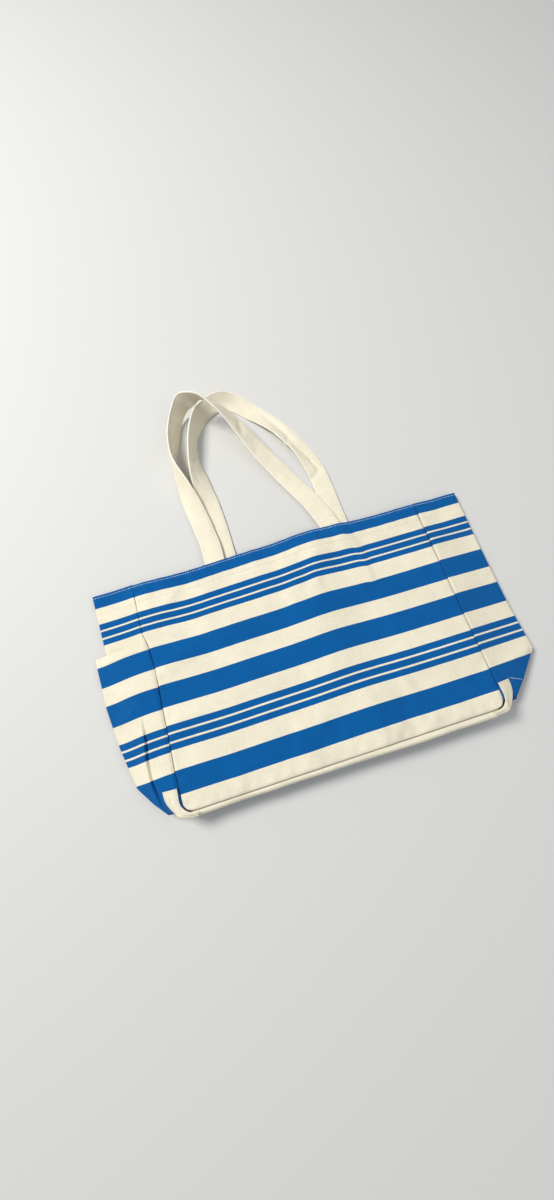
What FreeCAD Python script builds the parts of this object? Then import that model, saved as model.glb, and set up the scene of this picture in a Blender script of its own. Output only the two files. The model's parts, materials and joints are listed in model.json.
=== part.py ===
import FreeCAD, Part
import math
import os

# A canvas beach tote that lies flat on its back.  All sizes are in millimetres.
# +X runs along the mouth, +Y points out of the mouth and +Z points up, away from the surface it lies on.
# The origin is on that surface, below the middle of the front panel.

Vector = FreeCAD.Vector

# The cloth.
canvas = 1.2
facing_cloth = 0.9
binding_cloth = 1.0
binding_width = 8.0
binding_inset = 1.0
side_binding_stop = 16.0
base_binding_stop = 4.0
hem_depth = 30.0

# The two large panels.  The back one has slid to the right of the front one.
panel_width = 460.0
panel_height = 330.0
back_shift = 15.0
corner_radius = 14.0
mouth_y = panel_height / 2
bottom_y = -panel_height / 2
mouth_height = 13.0
bottom_height = 32.0

# The side panels fold outward.  Each row: distance up the bag, where the crease is to the left and right
# of the middle, and how high the crease is.
gusset_rows = [
    (165.0, 293.0, 304.0, 6.3),
    (70.0, 290.0, 305.0, 6.3),
    (-40.0, 288.0, 308.0, 7.0),
    (-105.0, 277.0, 313.0, 9.0),
    (-140.0, 258.0, 280.0, 12.5),
    (-164.0, 239.0, 254.0, 16.0),
]
crease_half_height = 3.2
crease_bevel = 1.6
layer_gap = 0.05
seam_gap = 0.4
gusset_lift = 1.4

# The pocket wraps the left side panel, a little slack.  Rows as above, for the left side only.
pocket_cloth = 1.0
pocket_rows = [
    (70.0, 307.0, 5.6),
    (0.0, 305.0, 5.6),
    (-55.0, 298.0, 6.2),
    (-115.0, 285.0, 8.5),
    (-140.0, 267.0, 11.0),
    (-162.0, 247.0, 14.5),
]
pocket_lift = 1.3
pocket_clearance = 0.4
pocket_half_height = 4.2

# The base is tucked inward between the two panels, and its rounded lip shows past the front's lower seam.
base_gap = 0.8
base_end_gap = 3.0
base_lip = 11.0
tuck_depth = 60.0
tuck_height = 15.0
tuck_gap = 1.8
tuck_bevel = 1.0
# The upper half's outer face: how far in from the lip's outermost line, and how far below the seam.
lip_rows = [(4.0, 2.0), (0.0, 7.5), (3.0, 13.0)]
lip_seam_drop = 0.4
lip_throat = 12.0
lower_seam_height = 2.8
lower_seam_rise = 2.0
lower_seam_run = 6.0

# The handles.  Each row: x, y, how high the strap's lowest edge is, and how far the strap is rolled
# about its own length, in degrees.  A roll of 90 stands it on its outer edge, and -90 on its inner one.
strap_width = 31.0
strap_thickness = 2.6
strap_gap = 1.0
front_handle_rows = [
    (-99.0, 191.0, 6.0, 0.0),
    (-102.0, 222.0, 4.5, 2.0),
    (-107.0, 258.0, 3.0, 12.0),
    (-114.0, 300.0, 1.0, 45.0),
    (-119.5, 345.0, 0.8, 82.0),
    (-110.5, 389.0, 0.8, 112.0),
    (-97.0, 427.0, 1.2, 119.0),
    (-80.5, 445.5, 10.0, 114.0),
    (-61.0, 438.0, 29.5, 80.0),
    (-43.0, 429.0, 33.5, 60.0),
    (-25.0, 410.5, 31.0, 46.0),
    (-8.0, 388.0, 23.0, 36.0),
    (8.0, 358.0, 15.0, 26.0),
    (26.0, 322.0, 8.5, 12.0),
    (50.0, 274.0, 5.2, 3.0),
    (78.0, 216.0, 4.9, 0.0),
]
back_handle_rows = [
    (-80.5, 191.0, 0.8, 0.0),
    (-80.5, 222.0, 0.5, 0.0),
    (-82.0, 258.0, 0.5, -5.0),
    (-85.5, 300.0, 0.6, -25.0),
    (-85.5, 345.0, 0.6, -60.0),
    (-77.5, 386.0, 0.6, -72.0),
    (-58.5, 420.5, 0.6, -54.0),
    (-38.0, 438.0, 0.6, -42.0),
    (-14.0, 446.0, 0.6, -32.0),
    (8.0, 438.0, 0.6, -14.0),
    (38.5, 406.0, 0.6, 4.0),
    (67.0, 366.5, 0.6, 16.0),
    (90.5, 317.0, 0.6, 18.0),
    (103.0, 272.0, 0.6, 5.0),
    (105.5, 236.0, 0.5, 0.0),
    (106.0, 203.0, 0.7, 0.0),
]
front_roots = (-99.5, 92.5)
back_roots = (-80.5, 107.0)
steps_between_rows = 3

# The folded tabs at the lower corners.
tab_cloth = 1.0
tab_gap = 0.6
tab_width = 19.0
tab_top_y = -132.0
tab_turn_y = -150.0
tab_low_y = -162.0
tab_seam_gap = 1.0
tab_corner = 4.0
back_tab_height = 0.2

panel_slope = math.degrees(math.atan2(bottom_height - mouth_height, panel_height))


def front_height(y):
    """Height of the front panel's outer face at a distance up the bag."""
    return mouth_height + (mouth_y - y) * math.tan(math.radians(panel_slope))


def on_front(shape):
    """Lay a flat shape, made level with the lower seam, down on the sloping front."""
    shape.rotate(Vector(0, bottom_y, bottom_height), Vector(1, 0, 0), -panel_slope)
    return shape


def slab(x_range, y_range, z_range):
    size = [high - low for low, high in (x_range, y_range, z_range)]
    corner = Vector(x_range[0], y_range[0], z_range[0])
    return Part.makeBox(size[0], size[1], size[2], corner)


def front_layer(x_range, y_range, depth, thickness):
    """A layer under the front panel, at a depth below its outer face."""
    top = bottom_height - depth
    return on_front(slab(x_range, y_range, (top - thickness, top)))


def back_layer(x_range, y_range, depth, thickness):
    """A layer on the back panel, at a height above its outer face."""
    return slab(x_range, y_range, (depth, depth + thickness))


def panel(centre_x, bottom_z):
    """A flat panel with rounded lower corners."""
    left = centre_x - panel_width / 2
    right = centre_x + panel_width / 2
    r = corner_radius
    bend = r * (1 - math.sqrt(0.5))
    edges = [
        Part.LineSegment(Vector(left, mouth_y, 0), Vector(left, bottom_y + r, 0)),
        Part.Arc(
            Vector(left, bottom_y + r, 0),
            Vector(left + bend, bottom_y + bend, 0),
            Vector(left + r, bottom_y, 0),
        ),
        Part.LineSegment(Vector(left + r, bottom_y, 0), Vector(right - r, bottom_y, 0)),
        Part.Arc(
            Vector(right - r, bottom_y, 0),
            Vector(right - bend, bottom_y + bend, 0),
            Vector(right, bottom_y + r, 0),
        ),
        Part.LineSegment(Vector(right, bottom_y + r, 0), Vector(right, mouth_y, 0)),
        Part.LineSegment(Vector(right, mouth_y, 0), Vector(left, mouth_y, 0)),
    ]
    outline = Part.Wire([edge.toShape() for edge in edges])
    flat = Part.Face(outline).extrude(Vector(0, 0, canvas))
    flat.translate(Vector(0, 0, bottom_z))
    return flat


def cloth_section(path, depth, thickness):
    """Outline of a cloth seen edge-on: the path moved to its right by the depth, and on by the thickness."""
    headings = [math.atan2(d - b, c - a) for (a, b), (c, d) in zip(path, path[1:])]

    def moved(distance):
        points = [(path[0][0], path[0][1] - distance / math.cos(headings[0]))]
        for (a, b), first, second in zip(path[1:], headings, headings[1:]):
            turn = math.remainder(second - first, 2 * math.pi) / 2
            reach = distance / math.cos(turn)
            points.append((a + reach * math.sin(first + turn), b - reach * math.cos(first + turn)))
        points.append((path[-1][0], path[-1][1] - distance / math.cos(headings[-1])))
        return points

    return moved(depth) + moved(depth + thickness)[::-1]


def fold_path(front, crease_x, crease_z, half, back):
    """Outer face of a side panel folded outward, from its front seam round the crease to its back seam."""
    bevel = crease_bevel
    return [
        front,
        (crease_x - bevel, crease_z + half),
        (crease_x, crease_z + half - bevel),
        (crease_x, crease_z - half + bevel),
        (crease_x - bevel, crease_z - half),
        back,
    ]


def folded_side(side, rows, half, lift, rise, layer):
    """Loft a folded cloth through rows of (y, crease x, crease height) on the left (-1) or right (+1).

    The layer is how deep under the outer face the cloth starts, and how thick it is.
    """
    front_x = panel_width / 2 + seam_gap
    back_x = panel_width / 2 + seam_gap + side * back_shift
    wires = []
    for y, crease_x, crease_z in rows:
        front = (front_x, front_height(y) + rise)
        path = fold_path(front, crease_x, crease_z, half, (back_x, lift))
        points = [Vector(side * x, y, z) for x, z in cloth_section(path, layer[0], layer[1])]
        wires.append(Part.makePolygon(points + points[:1]))
    return Part.makeLoft(wires, True, True)


def gusset_side_rows(side, top_y, low_y):
    """The crease of one side panel between two heights up the bag, read off the driving rows."""
    column = 1 if side < 0 else 2
    rows = [(row[0], row[column], row[3]) for row in gusset_rows]
    kept = [row for row in rows if low_y < row[0] < top_y]
    return [row_at(rows, top_y)] + kept + [row_at(rows, low_y)]


def row_at(rows, y):
    for upper, lower in zip(rows, rows[1:]):
        if upper[0] >= y >= lower[0]:
            share = (upper[0] - y) / (upper[0] - lower[0])
            return tuple(a + (b - a) * share for a, b in zip(upper, lower))
    raise ValueError("no row at this height")


def gusset(side):
    lift = gusset_lift if side > 0 else gusset_lift + canvas
    rows = gusset_side_rows(side, mouth_y, gusset_rows[-1][0])
    return folded_side(side, rows, crease_half_height, lift, 0.0, (0.0, canvas))


def side_facing(side):
    """The turned-in band inside the mouth of a side panel."""
    lift = gusset_lift if side > 0 else gusset_lift + canvas
    rows = gusset_side_rows(side, mouth_y, mouth_y - hem_depth)
    return folded_side(side, rows, crease_half_height, lift, 0.0, (canvas + layer_gap, facing_cloth))


def hem_facing(layer, middle):
    """The turned-in band inside the mouth of a large panel."""
    reach = panel_width / 2 - 1.0
    return layer((middle - reach, middle + reach), (mouth_y - hem_depth, mouth_y), canvas, facing_cloth)


def side_pocket():
    rise = pocket_cloth + pocket_clearance
    return folded_side(-1, pocket_rows, pocket_half_height, pocket_lift, rise, (0.0, pocket_cloth))


def base_panel():
    """The base: a rounded lip below the front's lower seam, then a tuck that runs inward and returns."""
    seam_y = bottom_y - base_gap
    lip_y = bottom_y - base_lip
    tuck_y = bottom_y + tuck_depth
    half = (canvas + tuck_gap) / 2
    path = [(seam_y, bottom_height - lip_seam_drop)]
    path += [(lip_y + run, bottom_height - drop) for run, drop in lip_rows]
    path += [
        (lip_y + lip_throat, tuck_height + half + tuck_bevel),
        (tuck_y, tuck_height + half),
        (tuck_y + tuck_bevel, tuck_height + half - tuck_bevel),
        (tuck_y + tuck_bevel, tuck_height - half + tuck_bevel),
        (tuck_y, tuck_height - half),
        (seam_y + lower_seam_run, lower_seam_height + lower_seam_rise),
        (seam_y, lower_seam_height),
    ]
    outline = cloth_section(path, -canvas, canvas)
    wires = []
    for side in (-1, 1):
        points = []
        for y, z in outline:
            slide = back_shift * (1 - z / bottom_height)
            points.append(Vector(side * (panel_width / 2 - base_end_gap) + slide, y, z))
        wires.append(Part.makePolygon(points + points[:1]))
    return Part.makeLoft(wires, True, True)


def smooth(rows):
    """Rows with even steps between them, on a curve that passes through each."""
    ends = [tuple(2 * a - b for a, b in zip(rows[0], rows[1]))]
    ends.append(tuple(2 * a - b for a, b in zip(rows[-1], rows[-2])))
    padded = [ends[0]] + rows + [ends[1]]
    result = []
    for p, q, r, s in zip(padded, padded[1:], padded[2:], padded[3:]):
        for step in range(steps_between_rows):
            t = step / steps_between_rows
            row = []
            for a, b, c, d in zip(p, q, r, s):
                curve = 2 * b + (c - a) * t + (2 * a - 5 * b + 4 * c - d) * t ** 2
                curve += (3 * b - a - 3 * c + d) * t ** 3
                row.append(curve / 2)
            result.append(tuple(row))
    return result + [rows[-1]]


def strap(rows):
    """A flat strap along a curve, rolled about its own length."""
    stations = smooth(rows)
    wires = []
    for i, (x, y, lowest, roll) in enumerate(stations):
        before = stations[max(i - 1, 0)]
        after = stations[min(i + 1, len(stations) - 1)]
        along = Vector(*after[:3]) - Vector(*before[:3])
        if i in (0, len(stations) - 1):
            along = Vector(0, along.y, 0)
        along.normalize()
        level = along.cross(Vector(0, 0, 1))
        level.normalize()
        upright = level.cross(along)
        angle = math.radians(roll)
        across = level * math.cos(angle) + upright * math.sin(angle)
        face = upright * math.cos(angle) - level * math.sin(angle)
        drop = strap_width / 2 * abs(math.sin(angle)) + strap_thickness / 2 * abs(math.cos(angle))
        middle = Vector(x, y, lowest + drop)
        half_width = across * (strap_width / 2)
        half_face = face * (strap_thickness / 2)
        corners = [
            middle - half_width - half_face,
            middle + half_width - half_face,
            middle + half_width + half_face,
            middle - half_width + half_face,
        ]
        wires.append(Part.makePolygon(corners + corners[:1]))
    return Part.makeLoft(wires, True, True)


def handle(rows, roots, root_low):
    """A handle's free loop, from just past the hem at one root to the other."""
    root_y = mouth_y + strap_gap
    first = (roots[0], root_y, root_low, 0.0)
    last = (roots[1], root_y, root_low, 0.0)
    return strap([first] + rows + [last])


def handle_ends(roots, layer, depth):
    """The two sewn ends of a handle, against the facing inside the hem."""
    half = strap_width / 2
    ends = []
    for root in roots:
        ends.append(layer((root - half, root + half), (mouth_y - hem_depth, mouth_y), depth, strap_thickness))
    return Part.makeCompound(ends)


def tab_outline(side, seam_x):
    """A tab with a square top that narrows round the lower corner."""
    return [
        (side * (seam_x + tab_seam_gap), tab_top_y),
        (side * (seam_x + tab_width), tab_top_y),
        (side * (seam_x + tab_width), tab_turn_y),
        (side * (seam_x + tab_width / 2), tab_low_y + tab_corner),
        (side * (seam_x + tab_seam_gap), tab_low_y),
    ]


def front_tab(side):
    """A tab beside the front seam, on the right side panel or on the pocket that covers the left one."""
    seam_x = panel_width / 2
    rows = [(row[0], row[2], row[3]) for row in gusset_rows]
    half = crease_half_height
    rise = 0.0
    if side < 0:
        rows = pocket_rows
        half = pocket_half_height
        rise = pocket_cloth + pocket_clearance
    low = []
    for x, y in tab_outline(side, seam_x):
        crease_x, crease_z = row_at(rows, y)[1:]
        share = (abs(x) - seam_x) / (crease_x - seam_x)
        seam_z = front_height(y) + rise
        height = seam_z + (crease_z + half - seam_z) * share
        low.append(Vector(x, y, height + tab_gap))
    high = [point + Vector(0, 0, tab_cloth) for point in low]
    faces = []
    for ring in (low, high):
        middle = sum(ring, Vector()) * (1 / len(ring))
        for a, b in zip(ring, ring[1:] + ring[:1]):
            faces.append(Part.Face(Part.makePolygon([a, b, middle, a])))
    for a, b, c, d in zip(low, low[1:] + low[:1], high[1:] + high[:1], high):
        faces.append(Part.Face(Part.makePolygon([a, b, c, d, a])))
    return Part.Solid(Part.Shell(faces))


def back_tab(side):
    """The same tab under the lower half of a side panel, beside the back seam."""
    seam_x = panel_width / 2 + side * back_shift + seam_gap
    points = [Vector(x, y, back_tab_height) for x, y in tab_outline(side, seam_x)]
    return Part.Face(Part.makePolygon(points + points[:1])).extrude(Vector(0, 0, tab_cloth))


def build():
    side_seam_y = (bottom_y + side_binding_stop, mouth_y - hem_depth)
    base_seam_low = bottom_y + base_binding_stop
    base_seam_y = (base_seam_low, base_seam_low + binding_width)
    end_depth = canvas + facing_cloth
    front_root_low = mouth_height - end_depth - strap_thickness
    parts = {
        "front_panel": on_front(panel(0.0, bottom_height - canvas)),
        "back_panel": panel(back_shift, 0.0),
        "left_gusset": gusset(-1),
        "right_gusset": gusset(1),
        "base_panel": base_panel(),
        "side_pocket": side_pocket(),
        "front_hem_facing": hem_facing(front_layer, 0.0),
        "back_hem_facing": hem_facing(back_layer, back_shift),
        "left_hem_facing": side_facing(-1),
        "right_hem_facing": side_facing(1),
        "front_handle": handle(front_handle_rows, front_roots, front_root_low),
        "back_handle": handle(back_handle_rows, back_roots, end_depth),
        "front_handle_ends": handle_ends(front_roots, front_layer, end_depth),
        "back_handle_ends": handle_ends(back_roots, back_layer, end_depth),
    }
    for name, side in (("left", -1), ("right", 1)):
        parts["front_%s_corner_tab" % name] = front_tab(side)
        parts["back_%s_corner_tab" % name] = back_tab(side)
        for where, layer, middle in (("front", front_layer, 0.0), ("back", back_layer, back_shift)):
            outer = middle + side * (panel_width / 2 - binding_inset)
            inner = outer - side * binding_width
            x_range = (min(outer, inner), max(outer, inner))
            parts["%s_%s_seam_binding" % (where, name)] = layer(x_range, side_seam_y, canvas, binding_cloth)
    corner = corner_radius + binding_width
    for where, layer, middle in (("front", front_layer, 0.0), ("back", back_layer, back_shift)):
        x_range = (middle - panel_width / 2 + corner, middle + panel_width / 2 - corner)
        parts["%s_base_binding" % where] = layer(x_range, base_seam_y, canvas, binding_cloth)
    return parts


os.makedirs("parts", exist_ok=True)
for node, shape in build().items():
    shape.exportStep("parts/%s.step" % node)
    state = "valid" if shape.isValid() else "NOT VALID"
    print(node, state, round(shape.Volume), "mm3, solids", len(shape.Solids))
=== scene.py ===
import bpy
import json
import math
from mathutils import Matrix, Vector, noise

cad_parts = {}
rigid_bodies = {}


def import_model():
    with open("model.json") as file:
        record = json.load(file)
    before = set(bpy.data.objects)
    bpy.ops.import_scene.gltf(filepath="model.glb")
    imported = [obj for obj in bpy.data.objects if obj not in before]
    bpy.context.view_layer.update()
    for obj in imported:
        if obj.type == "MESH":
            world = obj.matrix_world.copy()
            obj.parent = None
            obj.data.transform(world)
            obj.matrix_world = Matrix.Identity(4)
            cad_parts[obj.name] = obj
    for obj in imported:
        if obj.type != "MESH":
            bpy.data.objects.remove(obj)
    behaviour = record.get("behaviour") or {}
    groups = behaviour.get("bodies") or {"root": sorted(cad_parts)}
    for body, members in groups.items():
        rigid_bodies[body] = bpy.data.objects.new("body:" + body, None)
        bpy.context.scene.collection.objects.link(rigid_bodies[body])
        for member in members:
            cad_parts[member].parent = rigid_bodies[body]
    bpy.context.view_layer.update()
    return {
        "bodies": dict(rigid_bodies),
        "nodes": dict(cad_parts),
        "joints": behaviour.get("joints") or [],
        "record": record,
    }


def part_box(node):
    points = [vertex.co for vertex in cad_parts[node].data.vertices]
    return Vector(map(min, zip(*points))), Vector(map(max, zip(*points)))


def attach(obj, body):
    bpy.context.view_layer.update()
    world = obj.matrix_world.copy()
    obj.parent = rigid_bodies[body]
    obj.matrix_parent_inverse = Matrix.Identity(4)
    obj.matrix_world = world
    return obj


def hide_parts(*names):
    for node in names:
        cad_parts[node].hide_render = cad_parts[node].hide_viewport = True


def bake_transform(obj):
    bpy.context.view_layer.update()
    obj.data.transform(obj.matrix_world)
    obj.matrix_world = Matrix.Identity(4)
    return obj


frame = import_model()

# The studio.  The bag lies on a pale floor under one large soft lamp high on its left and a wide
# weak one opposite.  The camera stands almost straight above, leaning and turned a little, as a
# person sees a bag laid on a chest in front of them.

def link(name, data):
    """A new object in the scene that shows the data."""
    obj = bpy.data.objects.new(name, data)
    bpy.context.collection.objects.link(obj)
    return obj


eye = Vector((-0.0721, -0.0733, 0.620))
lean = math.radians(14.5)
turn = math.radians(-17.2)
camera_data = bpy.data.cameras.new("camera")
camera_data.lens = 12.48
camera_data.sensor_width = 36.0
camera_data.clip_start = 0.01
camera = link("camera", camera_data)
camera.location = eye
camera.rotation_euler = (lean, 0, turn)
bpy.context.scene.camera = camera
bpy.context.scene.view_settings.view_transform = "Standard"


bag_middle = Vector((0, 0.1, 0))


def lamp(name, place, size, watts, colour):
    """A square soft lamp that faces the middle of the bag."""
    data = bpy.data.lights.new(name, "AREA")
    data.size = size
    data.energy = watts
    data.color = colour
    light = link(name, data)
    light.location = place
    light.rotation_euler = (bag_middle - Vector(place)).to_track_quat("-Z", "Y").to_euler()


lamp("key_lamp", (-1.7, 1.5, 2.5), 1.1, 110.0, (1.0, 0.98, 0.94))
lamp("fill_lamp", (1.8, -1.1, 2.4), 2.4, 25.0, (0.95, 0.98, 1.0))
world = bpy.data.worlds.new("soft_room")
world.use_nodes = True
sky = world.node_tree.nodes["Background"]
sky.inputs["Color"].default_value = (0.95, 0.97, 1.0, 1)
sky.inputs["Strength"].default_value = 0.33
bpy.context.scene.world = world

floor_mesh = bpy.data.meshes.new("floor")
reach = 30.0
floor_mesh.from_pydata([(-reach, -reach, 0), (reach, -reach, 0), (reach, reach, 0), (-reach, reach, 0)],
                       [], [(0, 1, 2, 3)])
floor = link("floor", floor_mesh)
floor_paint = bpy.data.materials.new("floor_paint")
floor_paint.use_nodes = True
floor_shader = floor_paint.node_tree.nodes["Principled BSDF"]
floor_shader.inputs["Base Color"].default_value = (0.62, 0.62, 0.61, 1)
floor_shader.inputs["Roughness"].default_value = 0.75
floor_mesh.materials.append(floor_paint)


# The front panel.  One piece of plain-woven cotton canvas, yarn-dyed in azure stripes that run
# along the mouth.  It is seamed to the side panels and the base, and its top edge is turned in.
canvas_thickness = 0.0012
panel_low, panel_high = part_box("front_panel")
half_width = panel_high[0]
mouth_y = panel_high[1]
bottom_y = panel_low[1]
panel_length = 0.330
bottom_z = panel_high[2]
mouth_z = panel_low[2] + canvas_thickness
corner_radius = 0.014
seam_dip = 0.0016
seam_reach = 0.0019
hem_turn = 0.016
hem_depth = 0.030


def blend_value(low, high, share):
    return low + (high - low) * share


def ease(share):
    """0 before 0, 1 after 1, and smooth between."""
    share = min(max(share, 0.0), 1.0)
    return share * share * (3 - 2 * share)


def hump(distance, width):
    return math.exp(-(distance / width) ** 2)


def steps(*stops):
    """Positions along a line: a start, then how many steps to the next stop, and so on."""
    places = [stops[0]]
    for low, count, high in zip(stops[0::2], stops[1::2], stops[2::2]):
        places += [low + (high - low) * (i + 1) / count for i in range(count)]
    return places


def front_height(y):
    """Height of the front's outer face, which slopes from the base's thickness down to the flat mouth."""
    return blend_value(bottom_z, mouth_z, (y - bottom_y) / (mouth_y - bottom_y))


def soft_fold(x, y, start, end, width, height):
    """A fold in the cloth from one point to another, highest at its start and fading to its end."""
    along = Vector(end) - Vector(start)
    away = Vector((x, y)) - Vector(start)
    share = away.dot(along) / along.length_squared
    side = abs(away.cross(along)) / along.length
    fade = ease((share + 0.12) / 0.25) * (1 - ease((share - 0.25) / 0.85))
    return height * hump(side, width) * fade


# Where the slack of the front gathers: start, end, width and height of each fold, in metres.
front_folds = [
    ((0.052, 0.170), (0.020, -0.100), 0.034, 0.0072),
    ((0.030, 0.135), (0.012, 0.010), 0.010, -0.0018),
    ((0.096, 0.168), (0.108, 0.050), 0.013, 0.0034),
    ((0.042, 0.097), (0.037, 0.060), 0.007, 0.0018),
    ((-0.009, 0.080), (0.006, 0.040), 0.009, 0.0018),
    ((-0.114, 0.040), (-0.136, 0.064), 0.008, 0.0018),
    ((-0.168, 0.140), (-0.205, 0.095), 0.009, 0.0022),
    ((-0.196, 0.082), (-0.150, 0.060), 0.008, 0.0018),
    ((0.106, -0.074), (0.119, -0.120), 0.006, 0.0026),
    ((0.132, -0.146), (0.116, -0.168), 0.006, 0.0024),
    ((0.081, -0.140), (0.070, -0.166), 0.007, 0.0018),
    ((-0.048, -0.104), (-0.060, -0.150), 0.008, 0.0018),
    ((-0.017, -0.098), (-0.010, -0.140), 0.007, 0.0014),
    ((-0.084, -0.060), (-0.100, -0.100), 0.009, 0.0016),
    ((-0.045, 0.168), (-0.030, 0.040), 0.018, 0.0026),
    ((-0.185, 0.120), (-0.120, 0.020), 0.020, -0.0022),
    ((-0.150, 0.150), (-0.150, 0.060), 0.022, -0.0024),
    ((-0.228, 0.020), (-0.110, 0.062), 0.014, 0.0024),
    ((-0.228, -0.060), (-0.090, -0.030), 0.016, 0.0022),
    ((0.228, -0.080), (0.080, -0.060), 0.018, 0.0024),
    ((0.228, 0.060), (0.130, 0.030), 0.014, 0.0018),
    ((0.060, -0.164), (0.048, -0.060), 0.012, 0.0030),
    ((0.100, -0.164), (0.096, -0.100), 0.010, -0.0022),
    ((-0.050, -0.164), (-0.030, -0.070), 0.016, 0.0022),
    ((-0.150, -0.164), (-0.142, -0.090), 0.013, 0.0020),
    ((0.172, -0.164), (0.160, -0.100), 0.012, 0.0020),
    ((0.020, 0.030), (0.140, -0.020), 0.022, -0.0020),
]


def crease_line(y):
    """Where the one sharp crease of the front runs, down from the right strap."""
    return 0.1125 + 0.009 * math.sin((0.150 - y) * 24)


def front_drift(x, y):
    """How far the stripes wander up the bag, where the cloth was pulled as it was laid down."""
    up = (y - bottom_y) / (mouth_y - bottom_y)
    rise = 0.0042 * hump(x - 0.052, 0.060) * blend_value(0.25, 1.0, up)
    sink = -0.0022 * hump(x + 0.145, 0.050) * blend_value(0.2, 1.0, up)
    kink = -0.0016 * hump(x - crease_line(y), 0.007) * ease((y - 0.040) / 0.020) * ease((0.162 - y) / 0.015)
    return rise + sink + kink


def front_relief(x, y):
    """How far the front stands above or below its plane: soft folds, slack and the seams' puckers."""
    z = sum(soft_fold(x, y, *fold) for fold in front_folds)
    side_gap = half_width - abs(x)
    above_bottom = y - bottom_y
    below_mouth = mouth_y - y
    slack = ease(side_gap / 0.030) * ease(above_bottom / 0.030)
    z += 0.0016 * slack * noise.noise(Vector((x * 13, y * 17, 3.1)))
    z += 0.0005 * noise.noise(Vector((x * 55, y * 42, 7.7)))
    pucker = math.sin(y * 330 + 2.5 * noise.noise(Vector((y * 30, 0, 0))))
    z += 0.0006 * hump(side_gap - 0.006, 0.005) * pucker
    pucker = math.sin(x * 290 + 2.5 * noise.noise(Vector((x * 28, 4, 0))))
    z += 0.0006 * hump(above_bottom - 0.007, 0.006) * pucker
    crease = x - crease_line(y)
    z += 0.0021 * ease((y - 0.045) / 0.020) * hump(max(crease, 0), 0.0045) * hump(min(crease, 0), 0.014)
    ripple = math.sin(x * 260 + 3 * noise.noise(Vector((x * 25, 1, 0))))
    z += 0.0005 * hump(below_mouth - 0.010, 0.018) * ripple
    return z


# How far the left seam has been pulled inward by the pocket, by distance up the bag.
left_pull = [(0.085, 0.0), (0.066, 0.0045), (0.031, 0.0075), (0.005, 0.0066), (-0.0265, 0.0055),
             (-0.052, 0.0055), (-0.0845, 0.0045), (-0.1105, 0.0036), (-0.141, 0.0045), (-0.165, 0.0045)]


def seam_pull(y, side=-1):
    """How far inward a side seam has been pulled at a distance up the bag.  Only the left one has."""
    if side > 0:
        return 0.0
    for (above, first), (below, last) in zip(left_pull, left_pull[1:]):
        if y > below:
            return blend_value(first, last, min(max((above - y) / (above - below), 0.0), 1.0))
    return left_pull[-1][1]


def corner_narrow(y):
    """How far the rounded lower corner has drawn the seam in."""
    above_bottom = min(max(y - bottom_y, 0), corner_radius)
    return corner_radius - math.sqrt(corner_radius ** 2 - (corner_radius - above_bottom) ** 2)


def front_place(x, v, depth=0.0):
    """The front panel at x along the mouth and v down from it, at a depth under its outer face."""
    y = mouth_y - v / panel_length * (mouth_y - bottom_y)
    above_bottom = y - bottom_y
    side_gap = half_width - abs(x)
    x *= (half_width - corner_narrow(y)) / half_width
    z = front_height(y) + front_relief(x, y) - depth
    if depth == 0.0:
        z -= seam_dip * (hump(side_gap, seam_reach) * ease((v - hem_turn + 0.004) / 0.006)
                         + hump(above_bottom, seam_reach))
        z -= 0.0011 * hump(v, 0.0016)
        z -= 0.00035 * (hump(v - 0.0038, 0.0011) + hump(v - hem_depth, 0.0014))
    pulled = seam_pull(y) * ease((-x - 0.12) / 0.10)
    return Vector((x + pulled, y + front_drift(x, y) * ease(above_bottom / 0.05), z))


def plain_mesh(obj):
    """Bake an object's modifiers into a plain mesh."""
    bpy.context.view_layer.update()
    seen = obj.evaluated_get(bpy.context.evaluated_depsgraph_get())
    mesh = bpy.data.meshes.new_from_object(seen)
    obj.modifiers.clear()
    obj.data = mesh
    mesh.name = obj.name
    return obj


def cloth_sheet(name, across, along, place, thickness, fabric, chart=None, flip=False):
    """A woven sheet.  place(u, v) lays each point of the flat cloth down as its outer face, the thickness
    goes inward, and chart(u, v) says where that point is on the flat cloth, in metres."""
    points = [place(u, v) for v in along for u in across]
    row = len(across)
    faces = []
    for j in range(len(along) - 1):
        for i in range(row - 1):
            a = j * row + i
            face = (a, a + row, a + row + 1, a + 1)
            faces.append(face[::-1] if flip else face)
    mesh = bpy.data.meshes.new(name)
    mesh.from_pydata(points, [], faces)
    weave = mesh.uv_layers.new(name="weave")
    for loop in mesh.loops:
        j, i = divmod(loop.vertex_index, row)
        spot = (across[i], along[j])
        weave.data[loop.index].uv = chart(*spot) if chart else spot
    mesh.materials.append(fabric)
    mesh.shade_smooth()
    obj = link(name, mesh)
    wall = obj.modifiers.new("cloth", "SOLIDIFY")
    wall.thickness = thickness
    wall.offset = -1
    wall.use_even_offset = False
    return plain_mesh(obj)


class Nodes:
    """Short ways to place and join the nodes of one tree."""

    def __init__(self, tree):
        self.tree = tree

    def add(self, kind, **values):
        node = self.tree.nodes.new(kind)
        for key, value in values.items():
            setattr(node, key, value)
        return node

    def feed(self, socket, value):
        if isinstance(value, bpy.types.NodeSocket):
            self.tree.links.new(value, socket)
        else:
            socket.default_value = value

    def set(self, node, **sockets):
        for key, value in sockets.items():
            self.feed(node.inputs[key.replace("_", " ")], value)
        return node

    def math(self, operation, *values):
        node = self.add("ShaderNodeMath", operation=operation)
        for i, value in enumerate(values):
            self.feed(node.inputs[i], value)
        return node.outputs[0]

    def scale(self, vector, level):
        node = self.add("ShaderNodeVectorMath", operation="SCALE")
        return self.set(node, Vector=vector, Scale=level).outputs[0]

    def split(self, vector):
        """The first two coordinates of a vector."""
        return self.set(self.add("ShaderNodeSeparateXYZ"), Vector=vector).outputs[:2]

    def mix(self, share, first, second):
        node = self.add("ShaderNodeMix", data_type="RGBA")
        for index, value in ((0, share), (6, first), (7, second)):
            self.feed(node.inputs[index], value)
        return node.outputs[2]


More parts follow.
